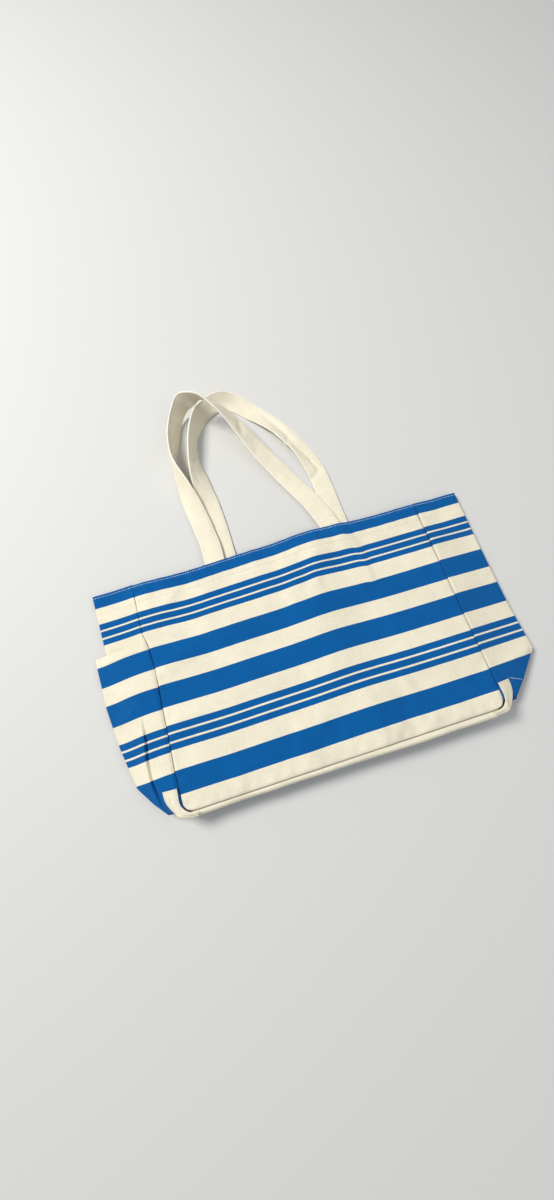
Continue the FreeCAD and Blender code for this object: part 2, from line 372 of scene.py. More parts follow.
def plain_weave_group():
    """Plain weave: yarns that cross over and under, with slubs.  It reads the flat cloth's own map."""
    tree = bpy.data.node_groups.new("plain_weave", "ShaderNodeTree")
    tree.interface.new_socket("Cloth", in_out="INPUT", socket_type="NodeSocketVector")
    tree.interface.new_socket("Yarns per metre", in_out="INPUT", socket_type="NodeSocketFloat")
    for socket in ("Height", "Slub", "Cloud"):
        tree.interface.new_socket(socket, in_out="OUTPUT", socket_type="NodeSocketFloat")
    n = Nodes(tree)
    start = n.add("NodeGroupInput")
    scaled = n.scale(start.outputs["Cloth"], start.outputs["Yarns per metre"])
    x, y = n.split(scaled)
    warp, weft = [n.math("SINE", n.math("MULTIPLY", n.math("FRACT", axis), math.pi)) for axis in (x, y)]
    cells = n.math("ADD", n.math("FLOOR", x), n.math("FLOOR", y))
    over = n.math("ABSOLUTE", n.math("MODULO", cells, 2.0))
    warp_top = n.math("MULTIPLY", warp, n.math("MULTIPLY_ADD", weft, 0.6, 0.4))
    weft_top = n.math("MULTIPLY", weft, n.math("MULTIPLY_ADD", warp, 0.6, 0.4))
    under = n.math("SUBTRACT", 1.0, over)
    height = n.math("ADD", n.math("MULTIPLY", warp_top, over), n.math("MULTIPLY", weft_top, under))
    slubs = []
    for stretch in ((1.1, 0.05, 1.0), (0.05, 1.1, 1.0)):
        longer = n.add("ShaderNodeVectorMath", operation="MULTIPLY")
        tree.links.new(scaled, longer.inputs[0])
        longer.inputs[1].default_value = stretch
        grain = n.add("ShaderNodeTexNoise", noise_dimensions="2D")
        n.set(grain, Vector=longer.outputs[0], Scale=1.0, Detail=2.0, Roughness=0.6)
        slubs.append(grain.outputs[0])
    patches = []
    for scale in (21.0, 430.0):
        cloud = n.add("ShaderNodeTexNoise", noise_dimensions="2D")
        n.set(cloud, Vector=start.outputs["Cloth"], Scale=scale, Detail=4.0, Roughness=0.6)
        patches.append(cloud.outputs[0])
    end = n.add("NodeGroupOutput")
    n.set(end, Height=height, Slub=n.math("MULTIPLY", n.math("ADD", *slubs), 0.5),
          Cloud=n.math("MULTIPLY", n.math("ADD", *patches), 0.5))
    return tree


plain_weave = plain_weave_group()


def woven_cloth(name, yarns_per_metre=1150.0, bump_depth=0.0003):
    """A cotton cloth material with its weave placed: the material, its nodes, its shader and its weave."""
    material = bpy.data.materials.new(name)
    material.use_nodes = True
    n = Nodes(material.node_tree)
    shader = material.node_tree.nodes["Principled BSDF"]
    n.set(shader, Sheen_Weight=0.04, Sheen_Roughness=0.6, Specular_IOR_Level=0.08)
    cloth = n.add("ShaderNodeUVMap", uv_map="weave")
    weave = n.add("ShaderNodeGroup", node_tree=plain_weave)
    n.set(weave, Cloth=cloth.outputs[0], Yarns_per_metre=yarns_per_metre)
    bump = n.add("ShaderNodeBump")
    lumps = n.math("MULTIPLY_ADD", weave.outputs["Slub"], 1.1, weave.outputs["Height"])
    n.set(bump, Height=lumps, Strength=0.55, Distance=bump_depth)
    n.set(shader, Normal=bump.outputs[0])
    n.set(shader, Roughness=n.math("MULTIPLY_ADD", weave.outputs["Slub"], 0.16, 0.8))
    return material, n, shader, cloth, weave


def yarn_colour(n, weave, colour, thin, thick):
    """One dyed yarn colour, lighter where a yarn is thick, with painted shade darkening it between yarns."""
    slub = n.math("MULTIPLY_ADD", weave.outputs["Slub"], thick - thin, thin)
    cloudy = n.math("MULTIPLY_ADD", weave.outputs["Cloud"], 0.44, 0.78)
    # Painted shade: the colour is darker where the weave is low, between the yarns.
    yarn_gap_shade = n.math("MULTIPLY_ADD", weave.outputs["Height"], 0.14, 0.90)
    level = n.math("MULTIPLY", n.math("MULTIPLY", slub, cloudy), yarn_gap_shade)
    return n.scale(colour, level)


def one_colour_cloth(name, colour, thin, thick, *sizes):
    """A cloth of one colour in the same weave."""
    material, n, shader, cloth, weave = woven_cloth(name, *sizes)
    n.set(shader, Base_Color=yarn_colour(n, weave, colour, thin, thick))
    return material


natural_cotton = (0.83, 0.775, 0.615)
azure_yarn = (0.0004, 0.100, 0.335)
stripe_repeat = 0.172
first_triple = 0.045
# One repeat of the stripes, from the first fine stripe down: where each colour begins, in metres.
stripe_starts = [
    (0.0000, "azure"), (0.0094, "natural"), (0.0116, "azure"), (0.0211, "natural"), (0.0236, "azure"),
    (0.0325, "natural"), (0.0585, "azure"), (0.0890, "natural"), (0.1150, "azure"), (0.1465, "natural"),
]


def striped_canvas_material():
    """Canvas woven in azure and natural stripes.  The second map coordinate counts down from the mouth."""
    material, n, shader, cloth, weave = woven_cloth("striped_canvas")
    ragged = n.math("MULTIPLY_ADD", weave.outputs["Slub"], 0.0007, -0.00035)
    down = n.math("ADD", n.split(cloth.outputs[0])[1], ragged)
    turns = n.math("DIVIDE", n.math("SUBTRACT", down, first_triple), stripe_repeat)
    share = n.math("FRACT", n.math("ADD", turns, 4.0))
    ramp = n.add("ShaderNodeValToRGB")
    ramp.color_ramp.interpolation = "CONSTANT"
    stops = ramp.color_ramp.elements
    stops.remove(stops[1])
    for i, (start, yarn) in enumerate(stripe_starts):
        stop = stops[0] if i == 0 else stops.new(start / stripe_repeat)
        stop.color = (1, 1, 1, 1) if yarn == "azure" else (0, 0, 0, 1)
    n.set(ramp, Fac=share)
    natural = yarn_colour(n, weave, natural_cotton, 0.84, 1.12)
    azure = yarn_colour(n, weave, azure_yarn, 0.72, 1.26)
    n.set(shader, Base_Color=n.mix(ramp.outputs[0], natural, azure))
    return material


striped_canvas = striped_canvas_material()
side_margin = 0.012
front_across = steps(-half_width, 8, side_margin - half_width, 130, half_width - side_margin, 8, half_width)
front_along = steps(0, 10, 0.008, 20, 0.036, 90, 0.318, 8, panel_length)
front_cloth = cloth_sheet("front_cloth", front_across, front_along, front_place, canvas_thickness,
                          striped_canvas)
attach(front_cloth, "front")
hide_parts("front_panel")


# The back panel.  The same canvas, lying flat on the floor.  The bag slumped as it was put down,
# so the back has slid a little to the right of the front.
back_low, back_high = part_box("back_panel")
back_shift = (back_low[0] + back_high[0]) / 2


def back_place(x, v, depth=0.0):
    """The back panel's outer face, on the floor, or a layer at a depth above it."""
    y = mouth_y - v
    above_bottom = y - bottom_y
    side_gap = half_width - abs(x)
    x *= (half_width - corner_narrow(y)) / half_width
    z = depth + 0.0005 * ease(side_gap / 0.02) * (0.5 + 0.5 * noise.noise(Vector((x * 24, y * 24, 9.3))))
    if depth == 0.0:
        z += 0.0008 * (hump(side_gap, 0.002) + hump(above_bottom, 0.002)) + 0.0006 * hump(v, 0.0016)
    return Vector((x + back_shift, y, z))


back_cloth = cloth_sheet("back_cloth", steps(-half_width, 6, side_margin - half_width, 70,
                                             half_width - side_margin, 6, half_width),
                         steps(0, 6, 0.008, 60, 0.318, 8, panel_length), back_place, canvas_thickness,
                         striped_canvas, flip=True)
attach(back_cloth, "back")
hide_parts("back_panel")


# The side panels.  Each is a strip of the same canvas between the front and the back, folded
# outward along a soft crease as the bag lies flat, and drawn in toward the base at the bottom.
seam_gap = 0.0004
side_drop = 0.329
gather_v = 0.298
end_closing = 0.006
crease_half_height = 0.0032
side_lift = 0.0014
# How far up the bag, then how far out and how high the crease is, on the left and on the right.
left_crease = [(0.165, 0.293, 0.0063), (0.070, 0.290, 0.0063), (-0.040, 0.288, 0.0070),
               (-0.105, 0.277, 0.0090), (-0.140, 0.258, 0.0125), (-0.164, 0.239, 0.0160)]
right_crease = [(0.165, 0.304, 0.0063), (0.070, 0.305, 0.0063), (-0.040, 0.308, 0.0070),
                (-0.105, 0.313, 0.0090), (-0.140, 0.280, 0.0125), (-0.164, 0.254, 0.0160)]


def row_at(rows, y):
    """The row of numbers at a place up the bag, read between the two nearest ones."""
    y = min(max(y, rows[-1][0]), rows[0][0])
    for upper, lower in zip(rows, rows[1:]):
        if y >= lower[0]:
            share = (upper[0] - y) / (upper[0] - lower[0])
            return [blend_value(a, b, share) for a, b in zip(upper, lower)]


class SideCloth:
    """A cloth folded outward beside one side seam: a side panel, its facing or its pocket."""

    def __init__(self, side, crease, half, lift, rise, relief, shift):
        self.side = side
        self.crease = crease
        self.half = half
        self.lift = lift
        self.rise = rise
        self.relief = relief
        self.shift = shift
        self.closed = 1.0
        self.front_x = half_width + seam_gap
        self.back_x = half_width + seam_gap + side * back_shift

    def width(self, v, half_name):
        start = self.front_x if half_name == "upper" else self.back_x
        return row_at(self.crease, mouth_y - v)[1] - start

    def chart(self, half_name):
        """Where a point is on the flat cloth: out from the front seam, and down from the mouth.
        The last of it is gathered into the corner."""
        def find(u, v):
            v = min(v, gather_v) + max(v - gather_v, 0) * 0.12
            if half_name == "upper":
                return (u * self.width(v, "upper"), v)
            return (self.width(v, "upper") + u * self.width(v, "lower"), v)
        return find

    def place(self, half_name, depth=0.0):
        """The outer face, from the front seam (u = 0) to the crease, and on to the back seam (u = 1)."""
        def lay(u, v):
            y = mouth_y - v
            crease_x, crease_z = row_at(self.crease, y)[1:]
            radius = self.half - depth
            nose = crease_x - self.half
            seam_x = self.front_x - corner_narrow(y) - seam_pull(y, self.side)
            seam_z = front_height(y) + self.rise - depth
            turn = 1.0
            if half_name == "lower":
                u = 1 - u
                seam_x = self.back_x
                seam_z = self.lift + depth
                turn = -1.0
            flat_share = 0.88
            if u <= flat_share:
                t = u / flat_share
                x = blend_value(seam_x, nose, t)
                z = blend_value(seam_z, crease_z + turn * radius, t)
                if half_name == "upper":
                    z += self.relief(x, y, t) * ease((1 - t) / 0.12)
                    if depth == 0.0:
                        z -= 0.0013 * hump(x - seam_x, 0.0019) * ease((v - hem_turn + 0.004) / 0.006)
            else:
                angle = (u - flat_share) / (1 - flat_share) * math.pi / 2
                x = nose + radius * math.sin(angle)
                z = crease_z + turn * radius * math.cos(angle)
            closing = ease((v - side_drop + end_closing) / end_closing) * self.closed
            z = blend_value(z, crease_z + turn * 0.0007, 0.96 * closing)
            drop = self.shift(u if half_name == "upper" else 1.0, v)
            return Vector((self.side * x, y - drop, z))
        return lay


right_folds = [
    ((0.232, 0.100), (0.300, 0.075), 0.012, 0.0016),
    ((0.232, -0.020), (0.300, -0.045), 0.012, -0.0014),
    ((0.312, -0.104), (0.240, -0.118), 0.008, 0.0026),
    ((0.262, 0.168), (0.266, 0.090), 0.012, -0.0016),
]


def right_relief(x, y, t):
    z = -0.0012 * math.sin(math.pi * t) + 0.0010 * noise.noise(Vector((x * 26, y * 20, 5.5)))
    z += sum(soft_fold(x, y, *fold) for fold in right_folds)
    return z * ease(t / 0.08)


def left_relief(x, y, t):
    open_part = ease((y - 0.060) / 0.020)
    z = open_part * 0.0009 * noise.noise(Vector((x * 26, y * 20, 8.5)))
    return (z - 0.0016 * math.sin(math.pi * t)) * ease(t / 0.08)


def right_shift(u, v):
    """The side panel was sewn a little high against the front, so its stripes step up at the seam."""
    rise = 0.0016 + 0.0012 * u * (1 - ease(v / 0.15)) + 0.0010 * u * ease((v - 0.23) / 0.04)
    return -rise * ease(v / 0.035)


side_clothes = {
    "left": SideCloth(-1, left_crease, crease_half_height, side_lift + canvas_thickness, 0.0,
                      left_relief, lambda u, v: 0.0),
    "right": SideCloth(1, right_crease, crease_half_height, side_lift, 0.0, right_relief, right_shift),
}
# A line across the bag for each side piece, passed to follow_sides, which does not use it.
side_lines = {"left": {"upper": (-0.3556, -half_width - seam_gap), "lower": (-0.2154, -0.3706)},
              "right": {"upper": (0.378, half_width + seam_gap), "lower": (0.2454, 0.363)}}
pocket_lines = {"upper": (-0.3836, -half_width - seam_gap), "lower": (-0.2154, -0.3986)}
outer_lines = {"left": pocket_lines["upper"], "right": side_lines["right"]["upper"]}


def follow_sides(obj, line):
    """Bake a side piece's transform into its mesh.  The line is not used."""
    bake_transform(obj)


side_along = steps(0, 8, 0.006, 60, 0.260, 24, side_drop)
halves = {"upper": steps(0, 8, 0.10, 22, 0.88, 8, 1), "lower": steps(0, 8, 0.12, 16, 1)}
for name, cloth in side_clothes.items():
    for half_name, across in halves.items():
        piece = cloth_sheet("%s_side_%s_cloth" % (name, half_name), across, side_along,
                            cloth.place(half_name), canvas_thickness, striped_canvas,
                            chart=cloth.chart(half_name), flip=name == "left")
        follow_sides(piece, side_lines[name][half_name])
        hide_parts("%s_gusset" % name)


# The side pocket.  A piece of the same canvas wrapped round the left side panel, sewn in with its
# seams, with a folded hem along its open top.  It is a little slack and has creased down its middle.
pocket_thickness = 0.0010
pocket_crease = [(0.070, 0.307, 0.0056), (0.000, 0.305, 0.0056), (-0.055, 0.298, 0.0062),
                 (-0.115, 0.285, 0.0085), (-0.140, 0.267, 0.0110), (-0.162, 0.247, 0.0145)]
pocket_top_v = mouth_y - pocket_crease[0][0]
pocket_low_v = mouth_y - pocket_crease[-1][0]
pocket_folds = [
    ((-0.236, -0.002), (-0.292, 0.020), 0.008, 0.0016),
    ((-0.300, -0.030), (-0.244, -0.006), 0.007, 0.0018),
    ((-0.262, -0.030), (-0.276, 0.010), 0.006, 0.0014),
]
pocket_valley = [(-0.030, 0.2530), (-0.061, 0.2550), (-0.086, 0.2588), (-0.110, 0.2590), (-0.129, 0.2560),
                 (-0.160, 0.2500)]


def pocket_relief(x, y, t):
    """Slack cloth with one long sharp crease that runs down toward the lower seam."""
    z = 0.0042 * math.sin(math.pi * min(t * 1.15, 1)) * (0.60 + 0.40 * ease((0.05 - y) / 0.06))
    z += sum(soft_fold(-x, y, *fold) for fold in pocket_folds)
    valley_x = row_at(pocket_valley, y)[1]
    depth = 0.0050 * ease((-0.022 - y) / 0.045)
    z += 0.55 * depth * hump(x - valley_x, 0.011)
    z -= 1.40 * depth * hump(x - valley_x, 0.0018)
    z += 0.0006 * noise.noise(Vector((x * 34, y * 30, 2.5)))
    z += 0.0007 * hump(y - 0.064, 0.007)
    return max(z, 0.0) * ease(t / 0.06)


def pocket_shift(u, v):
    return 0.0045 * ease(u / 0.9) + 0.0012 * ease(1 - u / 0.6)


pocket = SideCloth(-1, pocket_crease, 0.0042, 0.0013, 0.0014, pocket_relief, pocket_shift)
pocket.closed = 0.0
pocket_along = steps(pocket_top_v - 0.004, 8, pocket_top_v + 0.002, 62, pocket_low_v - 0.004)
pocket_halves = {"upper": steps(0, 8, 0.06, 12, 0.26, 44, 0.62, 12, 0.88, 8, 1), "lower": halves["lower"]}
for half_name, across in pocket_halves.items():
    piece = cloth_sheet("side_pocket_%s_cloth" % half_name, across, pocket_along, pocket.place(half_name),
                        pocket_thickness, striped_canvas, chart=pocket.chart(half_name), flip=True)
    follow_sides(piece, pocket_lines[half_name])
    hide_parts("side_pocket")


def side_surface(side, x, y):
    """Height of the outermost cloth beside a side seam."""
    cloth = pocket if side < 0 else side_clothes["right"]
    crease_x, crease_z = row_at(cloth.crease, y)[1:]
    seam_x = cloth.front_x - seam_pull(y, side)
    share = min(max((abs(x) - seam_x) / (crease_x - cloth.half - seam_x), 0), 1)
    z = blend_value(front_height(y) + cloth.rise, crease_z + cloth.half, share)
    return z + cloth.relief(abs(x), y, share) * ease((1 - share) / 0.12)


# The base.  A strip of the same canvas, seamed to the front's and the back's lower edges.  Its lip
# rounds over past the front's seam, and the rest is tucked inward, doubled, between the panels.
base_half = half_width - 0.003
base_first_stripe = 0.147
base_path_points = [
    (-0.1658, 0.0312), (-0.1694, 0.0300), (-0.1722, 0.0266), (-0.1716, 0.0218), (-0.1660, 0.0186),
    (-0.1350, 0.0172), (-0.1052, 0.0165), (-0.1040, 0.0151), (-0.1052, 0.0136), (-0.1350, 0.0098),
    (-0.1580, 0.0092), (-0.1668, 0.0076), (-0.1690, 0.0050), (-0.1676, 0.0026), (-0.1650, 0.0016),
]


def smooth_rows(rows, count):
    """Rows with even steps between them, on a curve that passes through each."""
    first = [2 * a - b for a, b in zip(rows[0], rows[1])]
    last = [2 * a - b for a, b in zip(rows[-1], rows[-2])]
    padded = [first] + list(rows) + [last]
    result = []
    for p, q, r, s in zip(padded, padded[1:], padded[2:], padded[3:]):
        for step in range(count):
            t = step / count
            row = []
            for a, b, c, d in zip(p, q, r, s):
                curve = 2 * b + (c - a) * t + (2 * a - 5 * b + 4 * c - d) * t ** 2
                row.append((curve + (3 * b - a - 3 * c + d) * t ** 3) / 2)
            result.append(row)
    return result + [list(rows[-1])]


def heading(rows, i, size):
    """Which way a curve runs at one of its rows, in its first two or three coordinates."""
    before, after = rows[max(i - 1, 0)], rows[min(i + 1, len(rows) - 1)]
    return (Vector(after[:size]) - Vector(before[:size])).normalized()


base_path = smooth_rows(base_path_points, 6)
base_lengths = [0.0]
for before, after in zip(base_path, base_path[1:]):
    base_lengths.append(base_lengths[-1] + math.dist(before, after))


def base_place(x, v):
    """The base at x along the seam, v along its path from the front's seam."""
    y, z = base_path[base_lengths.index(v)]
    upper_lip = ease((-0.1655 - y) / 0.004) * ease((z - 0.016) / 0.003)
    lower_lip = ease((-0.1600 - y) / 0.006) * ease((0.012 - z) / 0.002)
    wave = noise.noise(Vector((x * 16, 2.2, 0)))
    fuller = ease((x + 0.10) / 0.22)
    y -= upper_lip * (0.0004 + 0.0022 * fuller + 0.0009 * wave)
    y -= lower_lip * (0.0055 * ease((x - 0.02) / 0.14) + 0.0012 * noise.noise(Vector((x * 21, 5.2, 0))))
    z += upper_lip * 0.0007 * noise.noise(Vector((x * 30, 6.2, 0)))
    z -= 0.0008 * hump(v, 0.0018)
    pinch = ease((abs(x) - base_half + 0.016) / 0.016) * ease((-0.150 - y) / 0.010)
    y = blend_value(y, -0.1640, 0.75 * pinch)
    z = blend_value(z, 0.0185, 0.72 * pinch)
    return Vector((x + back_shift * (1 - z / bottom_z), y, z))


base_cloth = cloth_sheet("base_cloth", steps(-base_half, 110, base_half), base_lengths, base_place,
                         canvas_thickness, striped_canvas, chart=lambda u, v: (u, base_first_stripe + v))
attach(base_cloth, "back")
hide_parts("base_panel")


# The turned-in hem.  A band of plain azure canvas faces the inside of the mouth all the way
# round.  It is 30 mm deep and sewn down by two rows of stitches.
facing_thickness = 0.0009
layer_gap = 0.00005
facing_reach = half_width - 0.001
azure_canvas = one_colour_cloth("azure_canvas", azure_yarn, 0.72, 1.26)
facing_along = steps(0.0006, 4, 0.004, 16, hem_depth)
facing_across = steps(-facing_reach, 100, facing_reach)
facing_depth = canvas_thickness + layer_gap
front_facing = cloth_sheet("front_facing_cloth", facing_across, facing_along,
                           lambda u, v: front_place(u, v, facing_depth), facing_thickness, azure_canvas)
back_facing = cloth_sheet("back_facing_cloth", facing_across, facing_along,
                          lambda u, v: back_place(u, v, facing_depth), facing_thickness, azure_canvas,
                          flip=True)
for piece, body in ((front_facing, "front"), (back_facing, "back")):
    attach(piece, body)
    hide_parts("%s_hem_facing" % body)
for name, cloth in side_clothes.items():
    for half_name, across in halves.items():
        piece = cloth_sheet("%s_facing_%s_cloth" % (name, half_name), across, facing_along,
                            cloth.place(half_name, facing_depth), facing_thickness, azure_canvas,
                            chart=cloth.chart(half_name), flip=name == "left")
        follow_sides(piece, side_lines[name][half_name])
        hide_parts("%s_hem_facing" % name)


# The two handles.  Each is one long strap of natural canvas, folded to a flat band 31 mm wide and
# stitched down both edges.  Its ends are sewn inside the hem, and the loop lies as it fell.
strap_width = 0.031
strap_thickness = 0.0026
strap_steps = 9
# Along each loop: x, y, height of the strap's lowest edge, its roll in degrees, and how far its
# middle stands out (or is sunk) between its edges.
front_strap_rows = [
    (-0.0995, 0.1360, 0.0100, 0, 0.0000),
    (-0.0995, 0.1500, 0.0092, 0, 0.0000),
    (-0.0995, 0.1660, 0.0083, 0, 0.0000),
    (-0.0990, 0.1910, 0.0060, 0, 0.0003),
    (-0.1020, 0.2220, 0.0045, 2, 0.0006),
    (-0.1070, 0.2580, 0.0030, 12, 0.0012),
    (-0.1140, 0.3000, 0.0010, 45, 0.0016),
    (-0.1195, 0.3450, 0.0008, 82, 0.0012),
    (-0.1105, 0.3890, 0.0008, 112, 0.0008),
    (-0.0970, 0.4270, 0.0012, 119, 0.0004),
    (-0.0805, 0.4455, 0.0100, 114, 0.0000),
    (-0.0610, 0.4380, 0.0295, 80, 0.0000),
    (-0.0430, 0.4290, 0.0335, 60, 0.0000),
    (-0.0250, 0.4105, 0.0310, 46, 0.0004),
    (-0.0080, 0.3880, 0.0230, 36, 0.0010),
    (0.0080, 0.3580, 0.0150, 26, 0.0012),
    (0.0260, 0.3220, 0.0085, 12, 0.0010),
    (0.0500, 0.2740, 0.0052, 3, 0.0006),
    (0.0780, 0.2160, 0.0049, 0, 0.0003),
    (0.0925, 0.1660, 0.0083, 0, 0.0000),
    (0.0925, 0.1500, 0.0092, 0, 0.0000),
    (0.0925, 0.1360, 0.0100, 0, 0.0000),
]
back_strap_rows = [
    (-0.0805, 0.1360, 0.0022, 0, 0.0000),
    (-0.0805, 0.1500, 0.0022, 0, 0.0000),
    (-0.0805, 0.1660, 0.0021, 0, 0.0000),
    (-0.0805, 0.1910, 0.0008, 0, 0.0000),
    (-0.0805, 0.2220, 0.0005, 0, 0.0000),
    (-0.0820, 0.2580, 0.0005, -5, 0.0004),
    (-0.0855, 0.3000, 0.0006, -25, 0.0010),
    (-0.0855, 0.3450, 0.0006, -60, 0.0010),
    (-0.0775, 0.3860, 0.0006, -72, 0.0006),
    (-0.0585, 0.4205, 0.0006, -54, 0.0000),
    (-0.0380, 0.4380, 0.0006, -42, 0.0000),
    (-0.0140, 0.4460, 0.0006, -32, -0.0006),
    (0.0080, 0.4380, 0.0006, -14, -0.0016),
    (0.0385, 0.4060, 0.0006, 4, -0.0020),
    (0.0670, 0.3665, 0.0006, 16, -0.0020),
    (0.0905, 0.3170, 0.0006, 18, -0.0020),
    (0.1030, 0.2720, 0.0006, 5, -0.0008),
    (0.1055, 0.2360, 0.0005, 0, 0.0000),
    (0.1060, 0.2030, 0.0007, 0, 0.0000),
    (0.1070, 0.1660, 0.0021, 0, 0.0000),
    (0.1070, 0.1500, 0.0022, 0, 0.0000),
    (0.1070, 0.1360, 0.0022, 0, 0.0000),
]
# Half of the strap's section, from one edge to the other: place across, and height of the face.
stitch_inset = 0.0027
strap_section = [
    (-1.000, 0.10), (-0.985, 0.62), (-0.950, 0.93), (-0.890, 1.04), (-0.826, 0.84), (-0.760, 1.02),
    (-0.660, 1.02), (-0.560, 1.02), (-0.460, 1.00), (-0.370, 0.98), (-0.280, 0.97), (-0.190, 0.96),
    (-0.095, 0.95), (0.000, 0.95), (0.095, 0.95), (0.190, 0.96), (0.280, 0.97), (0.370, 0.98),
    (0.460, 1.00), (0.560, 1.02), (0.660, 1.02), (0.760, 1.02),
    (0.826, 0.84), (0.890, 1.04), (0.950, 0.93), (0.985, 0.62), (1.000, 0.10),
]


# Soft creases in the loops.  Each has two ends, its width and its depth.  An end is given as the row
# it lies at and its place across, from the outer edge (-1) to the inner one (1).
strap_creases = {
    "front": [((14.3, -0.45), (14.75, 0.35), 0.0060, 0.0016), ((15.75, 0.45), (15.85, 1.0), 0.0030, 0.0010),
              ((16.85, 0.5), (16.9, 1.0), 0.0030, 0.0009), ((5.55, -0.25), (6.0, 0.2), 0.0040, 0.0010),
              ((8.9, -0.2), (7.7, 0.5), 0.0030, 0.0011)],
    "back": [((6.9, -0.35), (7.2, 0.75), 0.0035, 0.0014), ((6.5, -0.5), (6.1, -0.2), 0.0040, 0.0010),
             ((12.0, -0.2), (12.6, 0.3), 0.0050, 0.0009), ((13.3, -0.35), (14.45, -0.05), 0.0045, 0.0016),
             ((14.5, -0.15), (14.6, 0.95), 0.0035, 0.0015), ((14.8, 0.25), (15.5, -0.15), 0.0035, 0.0014),
             ((15.5, -0.15), (16.05, -0.38), 0.0035, 0.0015), ((16.05, -0.3), (16.3, 1.0), 0.0035, 0.0017)],
}


def strap_crease(creases, frames, row, length, w):
    """How deep the creases are at a place on a strap."""
    depth = 0.0
    spot = Vector((length, w * strap_width / 2))
    for first, last, width, deepest in creases:
        if not min(first[0], last[0]) - 0.8 < row < max(first[0], last[0]) + 0.8:
            continue
        ends = [Vector((frames[round(r * strap_steps)][4], at * strap_width / 2)) for r, at in (first, last)]
        line = ends[1] - ends[0]
        share = min(max((spot - ends[0]).dot(line) / line.length_squared, 0.0), 1.0)
        away = (spot - ends[0] - line * share).length
        depth += deepest * hump(away, width)
    return depth


def strap_frames(rows, creases):
    """Along a strap: its middle, the directions across it and out of its face, its bow, its length so
    far, and how deep its creases are across it."""
    stations = smooth_rows(rows, strap_steps)
    frames = []
    length = 0.0
    for i, (x, y, lowest, roll, bow) in enumerate(stations):
        along = heading(stations, i, 3)
        level = along.cross(Vector((0, 0, 1))).normalized()
        upright = level.cross(along)
        angle = math.radians(roll)
        across = level * math.cos(angle) + upright * math.sin(angle)
        face = upright * math.cos(angle) - level * math.sin(angle)
        drop = (strap_width * abs(math.sin(angle)) + strap_thickness * abs(math.cos(angle))) / 2
        middle = Vector((x, y, lowest + drop))
        if i:
            length += (middle - frames[-1][0]).length
        frames.append((middle, across, face, bow, length))
    return [frame + (lambda w, i=i: strap_crease(creases, frames, i / strap_steps, frames[i][4], w),)
            for i, frame in enumerate(frames)]


least_height = 0.0004


def strap_point(frame, w, side, lift=0.0):
    """A point on a strap: w across from -1 to 1, on its upper (1) or lower (-1) face."""
    middle, across, face, bow, length, crease = frame
    wrinkle = 0.0005 * noise.noise(Vector((w * 1.3, length * 34, 0.7)))
    wave = 0.0006 * noise.noise(Vector((w * 0.6, length * 14, 4.7)))
    loose = ease((middle.y - 0.17) / 0.03)
    edge = 0.0004 * noise.noise(Vector((length * 40, 8.8, 0)))
    out = bow * (1 - w * w) + (wrinkle + wave) * loose * (1 - 0.4 * w * w) - crease(w)
    spot = middle + across * (w * strap_width / 2 + edge * loose) + face * (out + side * lift)
    spot.z = max(spot.z, least_height + (side + 1) * least_height)
    return spot


def strap_mesh(name, frames, fabric):
    ring = [(w, 1, h) for w, h in strap_section] + [(w, -1, h) for w, h in reversed(strap_section)]
    points = []
    for frame in frames:
        for w, side, h in ring:
            points.append(strap_point(frame, w, side, h * strap_thickness / 2))
    count = len(ring)
    faces = []
    spots = []
    for j in range(len(frames) - 1):
        for i in range(count):
            k = (i + 1) % count
            faces.append((j * count + i, j * count + k, (j + 1) * count + k, (j + 1) * count + i))
            low, high = frames[j][4], frames[j + 1][4]
            wide = strap_width / 2
            spots += [(ring[i][0] * wide, low), (ring[k][0] * wide, low), (ring[k][0] * wide, high),
                      (ring[i][0] * wide, high)]
    for j, face in ((0, range(count - 1, -1, -1)), (len(frames) - 1, range(count))):
        faces.append([j * count + i for i in face])
        spots += [(ring[i][0] * strap_width / 2, frames[j][4]) for i in face]
    mesh = bpy.data.meshes.new(name)
    mesh.from_pydata(points, [], faces)
    weave = mesh.uv_layers.new(name="weave")
    for i, spot in enumerate(spots):
        weave.data[i].uv = spot
    mesh.materials.append(fabric)
    mesh.shade_smooth()
    obj = link(name, mesh)
    return obj


def natural_strap_material():
    """Undyed canvas, with a painted highlight along the strap's two folded edges and a painted shade line
    beside each.
    """
    material, n, shader, cloth, weave = woven_cloth("natural_strap", 1050.0, 0.00035)
    edge = n.math("DIVIDE", n.math("ABSOLUTE", n.split(cloth.outputs[0])[0]), strap_width / 2)
    # Painted highlight: the strap's folded edges are coloured paler, as if lit along their rims.
    pale = n.add("ShaderNodeMapRange", interpolation_type="SMOOTHSTEP")
    n.set(pale, Value=edge, From_Min=0.84, From_Max=0.92, To_Min=0.0, To_Max=1.0)
    body = yarn_colour(n, weave, natural_cotton, 0.92, 1.14)
    edge_highlight_colour = yarn_colour(n, weave, (0.92, 0.87, 0.745), 0.96, 1.10)
    # Painted shade: a darker line beside each edge, where the stitched groove lies in shade.
    line_place, line_width = 0.835, 0.05
    beside = n.math("DIVIDE", n.math("ABSOLUTE", n.math("SUBTRACT", edge, line_place)), line_width)
    shaded = n.math("MULTIPLY", n.math("MAXIMUM", n.math("SUBTRACT", 1.0, beside), 0.0), 0.55)
    shade = (0.58, 0.51, 0.385, 1.0)
    n.set(shader, Base_Color=n.mix(shaded, n.mix(pale.outputs[0], body, edge_highlight_colour), shade))
    return material


natural_strap = natural_strap_material()
strap_frame_sets = {"front": strap_frames(front_strap_rows, strap_creases["front"]),
                    "back": strap_frames(back_strap_rows, strap_creases["back"])}


def follow_strap(obj, where):
    """Bake a strap's transform into its mesh.  The where argument is not used."""
    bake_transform(obj)


for where, frames in strap_frame_sets.items():
    piece = strap_mesh("%s_handle_strap" % where, frames, natural_strap)
    follow_strap(piece, where)
    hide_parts("%s_handle" % where, "%s_handle_ends" % where)


# The corner tabs.  A folded strip of natural canvas covers each lower corner of the side seams.
# It has a square top, narrows round the corner and runs out along the bottom seam.
tab_thickness = 0.0010
tab_lift = 0.0009
